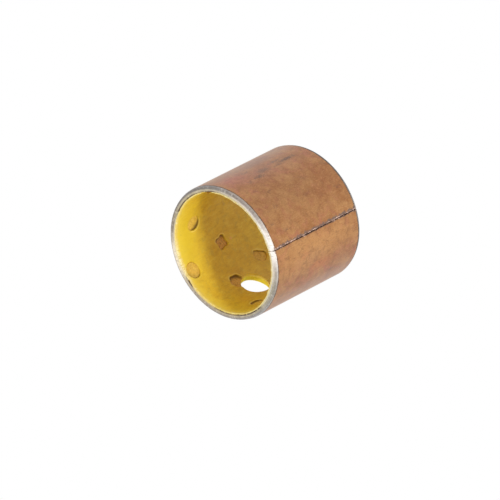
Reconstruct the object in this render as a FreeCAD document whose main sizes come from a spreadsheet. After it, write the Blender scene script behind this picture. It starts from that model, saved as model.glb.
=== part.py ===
import FreeCAD, Part

import math
import os
import sys

# Lined split sleeve bush, 25 mm bore x 28 mm outside x 25 mm long.
#
# The bush is a four-layer strip rolled into a sleeve. From the outside in: a
# copper flash, a steel backing, a sintered bronze layer and an acetal lining.
# Millimetres. The axis is Y, the origin is on the axis at mid-length, and +Z is up
# for a bush that lies on its side.

V = FreeCAD.Vector
doc = FreeCAD.newDocument("lined_sleeve_bush")

# ---------------------------------------------------------------- dimensions
sheet = doc.addObject("Spreadsheet::Sheet", "Dimensions")
DIMS = [
    ("bore_radius", 12.5, "running surface of the acetal lining"),
    ("lining_thickness", 0.30, "acetal"),
    ("sinter_thickness", 0.25, "porous bronze"),
    ("steel_thickness", 0.90, "steel backing"),
    ("plating_thickness", 0.05, "copper flash, drawn thicker than the real few microns"),
    ("bush_length", 25.0, "end face to end face"),
    ("outer_chamfer_length", 0.50, "measured along the axis"),
    ("outer_chamfer_angle", 20.0, "degrees from the axis"),
    ("inner_break", 0.15, "edge break at both ends of the lining"),
    ("seam_gap", 0.12, "butt joint, free state"),
    ("seam_angle", 20.2, "degrees from +X towards +Z"),
    ("oil_hole_radius", 3.0, ""),
    ("oil_hole_angle", -101.1, "degrees from +X towards +Z"),
    ("pocket_radius", 1.7, "lubricant pocket"),
    ("pocket_depth", 0.40, "from the running surface into the bronze"),
    ("tool_reach", 3.0, "how far cutting tools run past the layers"),
]
# Lubricant pockets: a slanted lattice pressed into the flat strip before it is rolled,
# with steps of about 9 mm. (degrees from +X towards +Z, place along the axis)
POCKETS = [
    (-328.1, -6.06), (-311.6, 11.10), (-300.1, 1.12), (-288.6, -8.87),
    (-272.0, 8.29), (-260.5, -1.70), (-249.0, -11.69), (-232.5, 5.47),
    (-221.0, -4.52), (-191.5, 2.55), (-182.6, -7.20), (-164.8, 9.82),
    (-152.6, -0.35), (-141.7, -10.25), (-126.4, 7.05), (-113.4, -2.60),
    (-85.7, 4.18), (-73.8, -6.00), (-57.7, 11.36), (-46.1, 1.37),
    (-34.6, -8.62), (-18.1, 8.54), (-6.6, -1.45),
]
for k, (turn, axial) in enumerate(POCKETS, 1):
    DIMS.append(("pocket_angle_%02d" % k, turn, "degrees from +X towards +Z"))
    DIMS.append(("pocket_axial_%02d" % k, axial, "place along the axis"))
for row, (alias, value, note) in enumerate(DIMS, 1):
    sheet.set("A%d" % row, alias)
    sheet.set("B%d" % row, str(value))
    sheet.set("C%d" % row, note)
    sheet.setAlias("B%d" % row, alias)
# worked-out radii of the layer boundaries
DERIVED = [
    ("sinter_inner_radius", "=bore_radius + lining_thickness"),
    ("steel_inner_radius", "=bore_radius + lining_thickness + sinter_thickness"),
    ("steel_outer_radius",
     "=bore_radius + lining_thickness + sinter_thickness + steel_thickness"),
    ("outer_radius",
     "=bore_radius + lining_thickness + sinter_thickness + steel_thickness"
     " + plating_thickness"),
    ("half_length", "=bush_length / 2"),
    ("chamfer_drop", "=outer_chamfer_length * tan(outer_chamfer_angle * 1 deg)"),
]
for row, (alias, formula) in enumerate(DERIVED, len(DIMS) + 1):
    sheet.set("A%d" % row, alias)
    sheet.set("B%d" % row, formula)
    sheet.setAlias("B%d" % row, alias)
doc.recompute()


def dim(alias):
    value = sheet.get(alias)
    return float(getattr(value, "Value", value))


def origin_plane(body, role):
    for feature in body.Origin.OriginFeatures:
        if feature.Role == role:
            return feature
    raise RuntimeError("no origin plane " + role)


def closed_sketch(body, name, role, points, expressions, offset=None, angle=None):
    """A sketch of one closed polygon. Each corner is held by an X and a Y distance
    from the sketch's origin, and each distance is bound to the dimension sheet."""
    sketch = body.newObject("Sketcher::SketchObject", name)
    sketch.AttachmentSupport = [(origin_plane(body, role), "")]
    sketch.MapMode = "FlatFace"
    if angle is not None:
        axis, expression = angle
        sketch.AttachmentOffset = FreeCAD.Placement(V(), FreeCAD.Rotation(axis, 1.0))
        sketch.setExpression("AttachmentOffset.Rotation.Angle", expression)
    import Sketcher

    n = len(points)
    for k in range(n):
        sketch.addGeometry(
            Part.LineSegment(V(*points[k], 0), V(*points[(k + 1) % n], 0)), False
        )
    for k in range(n):
        sketch.addConstraint(
            Sketcher.Constraint("Coincident", k, 2, (k + 1) % n, 1)
        )
    for k in range(n):
        for axis_name, number in (("X", 0), ("Y", 1)):
            formula = expressions[k][number]
            i = sketch.addConstraint(
                Sketcher.Constraint(
                    "Distance" + axis_name, -1, 1, k, 1, points[k][number]
                )
            )
            sketch.setExpression("Constraints[%d]" % i, formula)
    return sketch


def layer(name, label, profile):
    """One layer of the strip, rolled: a revolved section, with the butt joint and
    the oil hole cut through it. profile is a list of (radius, axial) pairs, each a
    number for the start and the formula that binds it."""
    body = doc.addObject("PartDesign::Body", name)
    body.Label = label
    points = [(r[0], y[0]) for r, y in profile]
    formulas = [(r[1], y[1]) for r, y in profile]
    section = closed_sketch(body, name + "_section", "XY_Plane", points, formulas)
    doc.recompute()
    rolled = body.newObject("PartDesign::Revolution", name + "_rolled")
    rolled.Profile = section
    rolled.ReferenceAxis = (section, ["V_Axis"])
    rolled.Angle = 360.0
    doc.recompute()
    whole = body.Shape.Volume

    # the butt joint: a narrow slot in the plane across the axis
    g = dim("seam_gap") / 2
    ro = dim("outer_radius") + dim("tool_reach")
    ri = dim("bore_radius") - dim("tool_reach")
    joint = closed_sketch(
        body,
        name + "_butt_joint",
        "XZ_Plane",
        [(ri, -g), (ro, -g), (ro, g), (ri, g)],
        [
            ("Dimensions.bore_radius * 1 mm - Dimensions.tool_reach * 1 mm",
             "-Dimensions.seam_gap * 1 mm / 2"),
            ("Dimensions.outer_radius * 1 mm + Dimensions.tool_reach * 1 mm",
             "-Dimensions.seam_gap * 1 mm / 2"),
            ("Dimensions.outer_radius * 1 mm + Dimensions.tool_reach * 1 mm",
             "Dimensions.seam_gap * 1 mm / 2"),
            ("Dimensions.bore_radius * 1 mm - Dimensions.tool_reach * 1 mm",
             "Dimensions.seam_gap * 1 mm / 2"),
        ],
        angle=(V(0, 0, 1), "Dimensions.seam_angle * 1 deg"),
    )
    doc.recompute()
    slot = body.newObject("PartDesign::Pocket", name + "_butt_joint_cut")
    slot.Profile = joint
    slot.Midplane = True
    slot.Length = 30.0
    slot.setExpression(
        "Length", "Dimensions.bush_length * 1 mm + Dimensions.tool_reach * 1 mm"
    )
    doc.recompute()
    split = body.Shape.Volume
    if not split < whole - 1e-4:
        raise RuntimeError(name + ": the butt joint cut nothing")
    return body


# ------------------------------------------------------------- layer profiles
hl = dim("half_length")
cl = dim("outer_chamfer_length")
tan_c = math.tan(math.radians(dim("outer_chamfer_angle")))
r_bore = dim("bore_radius")
r_sinter = dim("sinter_inner_radius")
r_steel = dim("steel_inner_radius")
r_plate = dim("steel_outer_radius")
r_out = dim("outer_radius")
brk = dim("inner_break")
drop = dim("chamfer_drop")

HL = "Dimensions.half_length * 1 mm"
# axial reach of the steel's and the copper's cylindrical faces, where the 20 degree
# chamfer plane meets them
STEEL_Y = (
    "(Dimensions.outer_chamfer_length - Dimensions.plating_thickness"
    " / tan(Dimensions.outer_chamfer_angle * 1 deg)) * 1 mm"
)
steel_y = cl - dim("plating_thickness") / tan_c
TIP_R = "(Dimensions.outer_radius - Dimensions.chamfer_drop) * 1 mm"


def mirrored(half):
    """A section symmetric about mid-length from its upper half, listed from the
    inside out."""
    upper = [((r, fr), (y, fy)) for (r, fr), (y, fy) in half]
    lower = [((r, fr), (-y, "-(" + fy + ")")) for (r, fr), (y, fy) in reversed(half)]
    return upper + lower


steel_profile = mirrored(
    [
        ((r_steel, "Dimensions.steel_inner_radius * 1 mm"), (hl, HL)),
        ((r_out - drop, TIP_R), (hl, HL)),
        ((r_plate, "Dimensions.steel_outer_radius * 1 mm"),
         (hl - steel_y, HL + " - " + STEEL_Y)),
    ]
)
copper_profile = mirrored(
    [
        ((r_plate, "Dimensions.steel_outer_radius * 1 mm"),
         (hl - steel_y, HL + " - " + STEEL_Y)),
        ((r_out, "Dimensions.outer_radius * 1 mm"),
         (hl - cl, HL + " - Dimensions.outer_chamfer_length * 1 mm")),
    ]
)
sinter_profile = mirrored(
    [
        ((r_sinter, "Dimensions.sinter_inner_radius * 1 mm"), (hl, HL)),
        ((r_steel, "Dimensions.steel_inner_radius * 1 mm"), (hl, HL)),
    ]
)
lining_profile = mirrored(
    [
        ((r_bore, "Dimensions.bore_radius * 1 mm"),
         (hl - brk, HL + " - Dimensions.inner_break * 1 mm")),
        ((r_bore + brk, "(Dimensions.bore_radius + Dimensions.inner_break) * 1 mm"),
         (hl, HL)),
        ((r_sinter, "Dimensions.sinter_inner_radius * 1 mm"), (hl, HL)),
    ]
)

steel_body = layer("SteelStrip", "steel strip before piercing", steel_profile)
copper_body = layer("CopperFlash", "copper flash before piercing", copper_profile)
sinter_body = layer("BronzeSinter", "bronze layer before piercing", sinter_profile)
lining_body = layer("AcetalLining", "acetal layer before piercing", lining_profile)


# ------------------------------------------------------------- piercing tools
def radial_tool(name, radius_alias, angle_formula, axial_formula, start, end):
    """A cylinder that points outwards from the bush axis. Its base stands at radius
    start and its far end at radius end."""
    tool = doc.addObject("Part::Cylinder", name)
    tool.setExpression("Radius", "Dimensions.%s * 1 mm" % radius_alias)
    tool.setExpression("Height", "(%s) - (%s)" % (end, start))
    # the cylinder's own axis is Z: turned by 90 degrees about Y it points along +X,
    # and a turn about -Y then swings it from +X towards +Z
    tool.Placement = FreeCAD.Placement(V(), FreeCAD.Rotation(V(0, 1, 0), 90))
    tool.setExpression(
        "Placement.Rotation.Angle", "90 deg - (%s)" % angle_formula
    )
    tool.setExpression(
        "Placement.Base.x", "(%s) * cos(%s)" % (start, angle_formula)
    )
    tool.setExpression(
        "Placement.Base.z", "(%s) * sin(%s)" % (start, angle_formula)
    )
    tool.setExpression("Placement.Base.y", axial_formula)
    return tool


INSIDE = "(Dimensions.bore_radius - Dimensions.tool_reach) * 1 mm"
OUTSIDE = "(Dimensions.outer_radius + Dimensions.tool_reach) * 1 mm"
oil_hole = radial_tool(
    "OilHoleDrill",
    "oil_hole_radius",
    "Dimensions.oil_hole_angle * 1 deg",
    "0 mm",
    INSIDE,
    OUTSIDE,
)

# one punch for each lubricant pocket; the pockets near an end face run out of it
pockets = []
for k in range(1, len(POCKETS) + 1):
    pockets.append(
        radial_tool(
            "PocketPunch_%02d" % k,
            "pocket_radius",
            "Dimensions.pocket_angle_%02d * 1 deg" % k,
            "Dimensions.pocket_axial_%02d * 1 mm" % k,
            INSIDE,
            OUTSIDE,
        )
    )
doc.recompute()
print("lubricant pockets:", len(pockets))

punches = doc.addObject("Part::MultiFuse", "PocketPunches")
punches.Shapes = pockets
# the punches stop at the pocket floor, which follows the curve of the strip
floor = doc.addObject("Part::Cylinder", "PocketFloor")
floor.setExpression(
    "Radius", "(Dimensions.bore_radius + Dimensions.pocket_depth) * 1 mm"
)
floor.setExpression(
    "Height", "Dimensions.bush_length * 1 mm + 2 * Dimensions.tool_reach * 1 mm"
)
floor.Placement = FreeCAD.Placement(V(), FreeCAD.Rotation(V(1, 0, 0), 90))
floor.setExpression(
    "Placement.Base.y",
    "(Dimensions.half_length + Dimensions.tool_reach) * 1 mm",
)
pocket_tool = doc.addObject("Part::MultiCommon", "PocketTool")
pocket_tool.Shapes = [punches, floor]
doc.recompute()


def pierced(name, label, base, tools):
    """The layer with the oil hole, and for the inner layers the pockets, cut out."""
    result = base
    for k, tool in enumerate(tools):
        cut = doc.addObject("Part::Cut", "%s_%d" % (name, k + 1))
        cut.Base = result
        cut.Tool = tool
        cut.Label = "%s step %d" % (label, k + 1)
        result = cut
    result.Label = label
    doc.recompute()
    if not result.Shape.Volume < base.Shape.Volume - 1e-3:
        raise RuntimeError(label + ": the piercing cut nothing")
    return result


nodes = [
    pierced("SteelBacking", "steel_backing", steel_body, [oil_hole]),
    pierced("CopperPlating", "copper_plating", copper_body, [oil_hole]),
    pierced(
        "BronzeLayer", "bronze_sinter_layer", sinter_body, [oil_hole, pocket_tool]
    ),
    pierced("Lining", "acetal_lining", lining_body, [oil_hole, pocket_tool]),
]
doc.recompute()

# -------------------------------------------------------------------- checks
bad = []
for obj in doc.Objects:
    if "Invalid" in obj.State or "Error" in obj.State:
        bad.append("%s: %s" % (obj.Name, obj.State))
for node in nodes:
    shape = node.Shape
    if shape.isNull() or not shape.isValid():
        bad.append(node.Label + ": null or invalid shape")
    elif len(shape.Solids) != 1:
        bad.append("%s: %d solids" % (node.Label, len(shape.Solids)))
if bad:
    print("\n".join(bad))
    sys.exit(1)

os.makedirs("parts", exist_ok=True)
for node in nodes:
    box = node.Shape.BoundBox
    print(
        "%-20s %9.3f mm3  X %.3f..%.3f  Y %.3f..%.3f  Z %.3f..%.3f"
        % (node.Label, node.Shape.Volume, box.XMin, box.XMax, box.YMin, box.YMax,
           box.ZMin, box.ZMax)
    )
    node.Shape.exportStep("parts/%s.step" % node.Label)
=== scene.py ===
import math

import bpy
import numpy as np
from mathutils import Matrix, Vector
from mathutils.geometry import delaunay_2d_cdt


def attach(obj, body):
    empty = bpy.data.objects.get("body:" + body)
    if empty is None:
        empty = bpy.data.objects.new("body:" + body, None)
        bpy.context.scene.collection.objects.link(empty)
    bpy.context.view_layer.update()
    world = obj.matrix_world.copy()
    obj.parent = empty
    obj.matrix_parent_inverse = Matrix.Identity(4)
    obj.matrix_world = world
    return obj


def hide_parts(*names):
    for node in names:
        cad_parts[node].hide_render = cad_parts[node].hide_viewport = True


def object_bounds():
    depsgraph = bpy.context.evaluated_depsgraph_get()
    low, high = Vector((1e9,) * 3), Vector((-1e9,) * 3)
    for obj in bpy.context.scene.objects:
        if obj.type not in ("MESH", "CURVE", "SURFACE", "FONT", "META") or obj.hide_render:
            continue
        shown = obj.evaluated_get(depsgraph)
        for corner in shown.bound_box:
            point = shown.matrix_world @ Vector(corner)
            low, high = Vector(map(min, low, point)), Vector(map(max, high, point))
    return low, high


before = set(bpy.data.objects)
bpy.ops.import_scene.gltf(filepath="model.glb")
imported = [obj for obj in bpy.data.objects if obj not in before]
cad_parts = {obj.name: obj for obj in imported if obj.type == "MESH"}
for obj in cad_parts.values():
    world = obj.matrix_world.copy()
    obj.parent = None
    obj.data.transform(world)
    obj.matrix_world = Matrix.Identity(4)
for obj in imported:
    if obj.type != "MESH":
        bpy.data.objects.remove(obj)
cad_lo, cad_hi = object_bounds()
scene = bpy.context.scene

# ------------------------------------------------------------------ dimensions, mm
HALF = 12.5           # half length
R_BORE, R_SINTER, R_STEEL, R_PLATE, R_OUT = 12.5, 12.8, 13.05, 13.95, 14.0
TAN_C = math.tan(math.radians(20.0))
CHAMFER = 0.5
SEAM = 20.2           # degrees, +X towards +Z
GAP = 0.12
HOLE_ANGLE, HOLE_R = -101.1, 3.0
PHI0 = 52.64          # degrees from the marks' own zero line to +X
POCKETS = [
    (-328.1, -6.06), (-311.6, 11.10), (-300.1, 1.12), (-288.6, -8.87),
    (-272.0, 8.29), (-260.5, -1.70), (-249.0, -11.69), (-232.5, 5.47),
    (-221.0, -4.52), (-191.5, 2.55), (-182.6, -7.20), (-164.8, 9.82),
    (-152.6, -0.35), (-141.7, -10.25), (-126.4, 7.05), (-113.4, -2.60),
    (-85.7, 4.18), (-73.8, -6.00), (-57.7, 11.36), (-46.1, 1.37),
    (-34.6, -8.62), (-18.1, 8.54), (-6.6, -1.45),
]
POCKET_R = 1.66
# index: (shaded side in degrees from +arc towards +Y, shade, orange tint, floor depth,
# shrink, corners, flat on the shaded side)
POCKET_LOOK = {
    9: (-40, 0.10, 0.00, 0.04, 0.60, 0.0, 0.0),
    10: (38, 0.88, 0.16, 0.26, 0.16, 0.0, 0.15),
    11: (-20, 0.10, 0.00, 0.04, 0.60, 0.0, 0.0),
    12: (-165, 1.00, 0.80, 0.36, 0.18, 0.44, 0.0),
    13: (-22, 0.34, 0.24, 0.16, 0.04, 0.0, 0.0),
    14: (156, 0.95, 0.40, 0.30, 0.16, 0.0, 0.80),
    15: (170, 0.92, 0.62, 0.34, 0.05, 0.0, 0.25),
    17: (177, 0.90, 0.10, 0.24, 0.18, 0.0, 0.30),
}
POCKET_PLAIN = (150, 0.60, 0.30, 0.30, 0.12, 0.0, 0.15)


# ------------------------------------------------------------------ small maths
def smooth(x, lo, hi):
    t = np.clip((np.asarray(x, float) - lo) / (hi - lo), 0.0, 1.0)
    return t * t * (3 - 2 * t)


def hash1(i, seed):
    v = np.sin((np.asarray(i, float) + seed * 17.13) * 127.1 + 3.7) * 43758.5453
    return v - np.floor(v)


def noise1(x, seed=0):
    """Value noise in [-1, 1] along one coordinate."""
    x = np.asarray(x, float)
    i = np.floor(x)
    f = x - i
    f = f * f * (3 - 2 * f)
    return 2 * (hash1(i, seed) * (1 - f) + hash1(i + 1, seed) * f) - 1


def fbm1(x, seed=0, octaves=4):
    total, amp, norm = 0.0, 1.0, 0.0
    for k in range(octaves):
        total = total + amp * noise1(np.asarray(x) * 2 ** k, seed + k)
        norm += amp
        amp *= 0.55
    return total / norm


def fillet(d, radius):
    """How far a rounded edge falls back at distance d from the edge."""
    u = np.clip(radius - np.asarray(d, float), 0.0, radius)
    return radius - np.sqrt(np.maximum(radius * radius - u * u, 0.0))


# ------------------------------------------------------------------ rolled layers
def edge_rows(limit):
    """Places along the axis, close together near both ends."""
    near = [0.0, 0.015, 0.035, 0.06, 0.09, 0.13, 0.18, 0.25, 0.34, 0.45, 0.6, 0.8, 1.05, 1.4]
    inner = np.arange(-(limit - 1.85), limit - 1.84, (2 * limit - 3.7) / 44.0)
    ys = [-limit + d for d in near] + list(inner) + [limit - d for d in near[::-1]]
    return np.array(sorted(set(round(float(y), 5) for y in ys)))


def triangulate(r_ref, limit, rings, holes_r, col_step=0.42):
    """The unrolled strip as triangles. Returns (a, y, triangles): a is the arc at
    r_ref in mm, from angle zero, and the strip ends at the butt joint. rings is a
    list of (centre arc, centre y, [(radius, count, constrained)], keep-out radius)."""
    a1 = math.radians(SEAM) * r_ref - GAP / 2
    a0 = math.radians(SEAM - 360.0) * r_ref + GAP / 2
    near = [0.0, 0.02, 0.05, 0.09, 0.14, 0.2, 0.3]
    n = int((a1 - a0 - 1.0) / col_step)
    cols = [a0 + d for d in near] + list(np.linspace(a0 + 0.55, a1 - 0.55, n))
    cols += [a1 - d for d in near[::-1]]
    rows = edge_rows(limit)
    A, Y = np.meshgrid(cols, rows)
    A, Y = A.ravel(), Y.ravel()
    on_edge = (
        (np.abs(A - a0) < 1e-6) | (np.abs(A - a1) < 1e-6)
        | (np.abs(np.abs(Y) - limit) < 1e-6)
    )
    keep = np.ones(len(A), bool)
    for ca, cy, _, out in rings:
        keep &= (np.hypot(A - ca, Y - cy) > out) | on_edge
    pts = [(float(a), float(y)) for a, y in zip(A[keep], Y[keep])]
    edges = []
    hole_a = math.radians(HOLE_ANGLE) * r_ref
    for ca, cy, circles, out in rings:
        for radius, count, fixed in circles:
            loop = []
            for k in range(count):
                t = 2 * math.pi * (k + 0.5) / count
                p = (ca + radius * math.cos(t), cy + radius * math.sin(t))
                inside = abs(p[1]) < limit - 0.012 and a0 + 0.012 < p[0] < a1 - 0.012
                if inside and (ca, cy) != (hole_a, 0.0):
                    inside = math.hypot(p[0] - hole_a, p[1]) > holes_r + 0.015
                if inside:
                    # nothing from a second ring may fall within this one's rings
                    for cb, cz, cc, ob in rings:
                        if (cb, cz) == (ca, cy) or (cb, cz) == (hole_a, 0.0):
                            continue
                        if math.hypot(p[0] - cb, p[1] - cz) < cc[-1][0] and (ca, cy) == (hole_a, 0.0) and radius > holes_r + 1e-6:
                            inside = False
                loop.append(len(pts) if inside else None)
                if inside:
                    pts.append(p)
            if fixed:
                for k in range(count):
                    p, q = loop[k], loop[(k + 1) % count]
                    if p is not None and q is not None:
                        edges.append((p, q))
    res = delaunay_2d_cdt([Vector(p) for p in pts], edges, [], 0, 1e-5)
    v = np.array([(p[0], p[1]) for p in res[0]])
    return v[:, 0], v[:, 1], [tuple(f) for f in res[2]]


def rolled(name, r_ref, limit, drop, rings, r_in, r_out, move=None, drill=True, col_step=0.42, sharp=38.0, shift=None):
    """A closed rolled layer. drop(a, y) is true where the strip is pierced. r_in and
    r_out give the radius of its two faces. move(a, y) gives the ragged edges."""
    a, y, tris = triangulate(r_ref, limit, rings, HOLE_R, col_step)
    tri = np.array(tris)
    ca, cy = a[tri].mean(1), y[tri].mean(1)
    area = 0.5 * np.abs(
        (a[tri[:, 1]] - a[tri[:, 0]]) * (y[tri[:, 2]] - y[tri[:, 0]])
        - (a[tri[:, 2]] - a[tri[:, 0]]) * (y[tri[:, 1]] - y[tri[:, 0]])
    )
    tri = tri[(~drop(ca, cy)) & (area > 1e-9)]
    # anticlockwise in (a, y)
    cross = (a[tri[:, 1]] - a[tri[:, 0]]) * (y[tri[:, 2]] - y[tri[:, 0]]) - (
        a[tri[:, 2]] - a[tri[:, 0]]
    ) * (y[tri[:, 1]] - y[tri[:, 0]])
    tri[cross < 0] = tri[cross < 0][:, ::-1]
    used = np.unique(tri)
    remap = -np.ones(len(a), int)
    remap[used] = np.arange(len(used))
    a, y, tri = a[used], y[used], remap[tri]
    count = len(a)

    ri, ro = r_in(a, y), r_out(a, y)
    yy = y if move is None else move(a, y)
    hole_a = math.radians(HOLE_ANGLE) * r_ref
    da = 0.0 if shift is None else shift(a, y)

    def place(r):
        angle = (a + da) / r_ref
        if drill:
            dx = a - hole_a
            rho = np.hypot(dx, y)
            w = 1 - smooth(rho, HOLE_R + 0.5, HOLE_R + 2.6)
            straight = math.radians(HOLE_ANGLE) + np.arcsin(np.clip(dx / r, -0.9, 0.9))
            angle = angle * (1 - w) + straight * w
        return np.stack([r * np.cos(angle), yy, r * np.sin(angle)], 1), angle

    p_in, ang_in = place(ri)
    p_out, ang_out = place(ro)
    co = np.concatenate([p_in, p_out])
    # boundary edges become the walls
    e = np.concatenate([tri[:, [0, 1]], tri[:, [1, 2]], tri[:, [2, 0]]])
    key = {}
    for p, q in e.tolist():
        key[(p, q)] = True
    walls = [(p, q) for p, q in key if (q, p) not in key]
    faces = []
    # a rises towards +angle and y along +Y: (a, y) anticlockwise faces inwards
    faces += [tuple(t) for t in tri.tolist()]
    faces += [(t[0] + count, t[2] + count, t[1] + count) for t in tri.tolist()]
    for p, q in walls:
        faces.append((q, p, p + count, q + count))
    mesh = bpy.data.meshes.new(name)
    mesh.from_pydata((co * 0.001).tolist(), [], faces)
    mesh.validate()
    strip = mesh.attributes.new("strip", "FLOAT_VECTOR", "POINT")
    ang = np.concatenate([ang_in, ang_out]) + math.radians(PHI0)
    data = np.stack(
        [ang * 14.0, np.concatenate([yy, yy]), np.concatenate([ri, ro])], 1
    ).astype(np.float32)
    strip.data.foreach_set("vector", data.ravel())
    spot, look = pocket_field(a, y, r_ref)
    for key, field in (("pocket", spot), ("pocket_look", look)):
        layer = mesh.attributes.new(key, "FLOAT_VECTOR", "POINT")
        layer.data.foreach_set("vector", np.concatenate([field, field]).astype(np.float32).ravel())
    mesh.polygons.foreach_set("use_smooth", [True] * len(mesh.polygons))
    mesh.set_sharp_from_angle(angle=math.radians(sharp))
    mesh.update()
    obj = bpy.data.objects.new(name, mesh)
    scene.collection.objects.link(obj)
    return obj


def hole_rings(r_ref, circles, keep_out):
    return (math.radians(HOLE_ANGLE) * r_ref, 0.0, circles, keep_out)


def rho_hole(a, y, r_ref):
    return np.hypot(a - math.radians(HOLE_ANGLE) * r_ref, y)


def joint_distance(a, r_ref):
    a1 = math.radians(SEAM) * r_ref - GAP / 2
    a0 = math.radians(SEAM - 360.0) * r_ref + GAP / 2
    return np.minimum(a - a0, a1 - a)


def nearest_pocket(a, y, r_ref):
    best = np.full(np.shape(a), 1e9)
    for turn, axial in POCKETS:
        best = np.minimum(best, np.hypot(a - math.radians(turn) * r_ref, y - axial))
    return best


def pocket_looks(index):
    return POCKET_LOOK.get(index, POCKET_PLAIN)


def pocket_field(a, y, r_ref):
    """Local place in the nearest pocket (first axis towards its shaded side, in
    pocket radii), and that pocket's shade and tint."""
    spot = np.full((len(a), 3), 9.0)
    look = np.zeros((len(a), 3))
    best = np.full(len(a), 1e9)
    for i, (turn, axial) in enumerate(POCKETS):
        da, dy = a - math.radians(turn) * r_ref, y - axial
        d = np.hypot(da, dy)
        m = d < np.minimum(best, 4.2)
        best[m] = d[m]
        side, shade, tint = pocket_looks(i)[:3]
        c, t = math.cos(math.radians(side)), math.sin(math.radians(side))
        spot[m] = np.stack([(da * c + dy * t) / 1.7, (dy * c - da * t) / 1.7, d * 0 + 0.37 * i], 1)[m]
        look[m] = (shade, tint, 0.0)
    return spot, look


def pocket_value(a, y, r_ref, column):
    out = np.full(np.shape(a), float(POCKET_PLAIN[column]))
    best = np.full(np.shape(a), 1e9)
    for i, (turn, axial) in enumerate(POCKETS):
        d = np.hypot(a - math.radians(turn) * r_ref, y - axial)
        out = np.where(d < best, pocket_looks(i)[column], out)
        best = np.minimum(best, d)
    return out


def pocket_pull(a, y, r_ref):
    """The lining closes in a little over each pocket's edge. Returns (da, dy)."""
    da_all, dy_all = np.zeros(np.shape(a)), np.zeros(np.shape(a))
    for i, (turn, axial) in enumerate(POCKETS):
        side = pocket_looks(i)[0]
        shrink, corners, flat = pocket_looks(i)[4:7]
        da, dy = a - math.radians(turn) * r_ref, y - axial
        d = np.maximum(np.hypot(da, dy), 1e-6)
        t = np.arctan2(dy, da)
        amount = shrink + corners * (0.5 - 0.5 * np.cos(4 * (t - math.radians(62))))
        cosine = np.maximum(np.cos(t - math.radians(side)), 1e-3)
        amount = np.maximum(amount, POCKET_R - (POCKET_R - flat) / cosine)
        amount = np.minimum(amount + 0.07 * noise1(np.cos(t) * 2.2 + i * 5.0, 41) + 0.06 * noise1(np.sin(t) * 2.4 + i * 3.0, 42), 1.05)
        w = (1 - smooth(d, POCKET_R, 3.4)) * smooth(HALF - 0.35 - np.abs(y), 0.0, 0.8)
        w = w * smooth(rho_hole(a, y, r_ref) - HOLE_R, 0.25, 1.0)
        da_all = da_all - da / d * amount * w
        dy_all = dy_all - dy / d * amount * w
    # the lining hangs a little over one side of the oil hole
    da, dy = a - math.radians(HOLE_ANGLE) * r_ref, y
    d = np.maximum(np.hypot(da, dy), 1e-6)
    amount = 0.50 * np.clip(np.cos(np.arctan2(dy, da) - math.radians(38)), 0, 1) ** 3
    w = 1 - smooth(d, HOLE_R, 4.3)
    return da_all - da / d * amount * w, dy_all - dy / d * amount * w


def joint_sides(a, r_ref):
    """Distance from the edge above the joint and from the edge below it."""
    a1 = math.radians(SEAM) * r_ref - GAP / 2
    a0 = math.radians(SEAM - 360.0) * r_ref + GAP / 2
    return a - a0, a1 - a


# --- steel backing
RS = 13.5


def steel_out(a, y, r_ref=RS):
    d = HALF - np.abs(y)
    dc = CHAMFER - (R_OUT - R_PLATE) / TAN_C
    r = R_PLATE - np.clip(dc - d, 0, None) * TAN_C
    r = r - fillet(d, 0.07)
    r = r - fillet(joint_distance(a, r_ref), 0.10)
    r = r - fillet(rho_hole(a, y, r_ref) - HOLE_R, 0.07)
    return r


def steel_shift(a, y):
    above, below = joint_sides(a, RS)
    close_a = 0.020 + 0.028 * fbm1(y * 0.9, 51) + 0.010 * fbm1(y * 4.0, 52)
    close_b = 0.016 + 0.026 * fbm1(y * 0.7 + 9.0, 53) + 0.010 * fbm1(y * 3.5, 54)
    close_a = np.clip(close_a, -0.01, 0.046)
    close_b = np.clip(close_b, -0.01, 0.046)
    return -close_a * (1 - smooth(above, 0.0, 0.6)) + close_b * (1 - smooth(below, 0.0, 0.6))


steel = rolled(
    "steel_sleeve", RS, HALF,
    lambda a, y: rho_hole(a, y, RS) < HOLE_R,
    [hole_rings(RS, [(HOLE_R, 120, True), (3.02, 120, False), (3.05, 120, False), (3.1, 120, False), (3.22, 100, False), (3.45, 72, False)], 3.7)],
    lambda a, y: np.full(np.shape(a), R_STEEL) + fillet(HALF - np.abs(y), 0.03),
    steel_out,
    shift=steel_shift,
)

# --- copper flash: follows the steel's outer face, with an uneven edge at each end
RC = 14.0
COPPER_LIMIT = 12.11


def copper_move(a, y):
    edge = smooth(np.abs(y), COPPER_LIMIT - 0.5, COPPER_LIMIT)
    wobble = 0.035 * fbm1(a * 1.3, 5) + 0.02 * fbm1(a * 6.0, 9)
    return y - np.sign(y) * edge * (0.045 + wobble)


def copper_out(a, y):
    d = HALF - np.abs(y)
    r = R_OUT - np.clip(CHAMFER - d, 0, None) * TAN_C
    r = r - fillet(joint_distance(a, RC), 0.14)
    r = r - fillet(rho_hole(a, y, RC) - HOLE_R, 0.08)
    r = r - 0.02 * (1 - smooth(COPPER_LIMIT - np.abs(y), 0.0, 0.05))
    return r


def copper_shift(a, y):
    """The flash is worn back from the joint, more on the upper side."""
    above, below = joint_sides(a, RC)
    worn = 0.15 + 0.20 * fbm1(y * 0.6, 61) + 0.16 * fbm1(y * 1.9, 62)
    under = 0.03 + 0.11 * fbm1(y * 0.8, 63) + 0.10 * fbm1(y * 2.1, 64)
    worn = np.clip(worn, 0.0, 0.38)
    under = np.clip(under, -0.04, 0.20)
    return worn * (1 - smooth(above, 0.0, 0.9)) - under * (1 - smooth(below, 0.0, 0.6))


def copper_in(a, y):
    return np.minimum(steel_out(a * RS / RC, y) - 0.004, copper_out(a, y) - 0.02)


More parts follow.
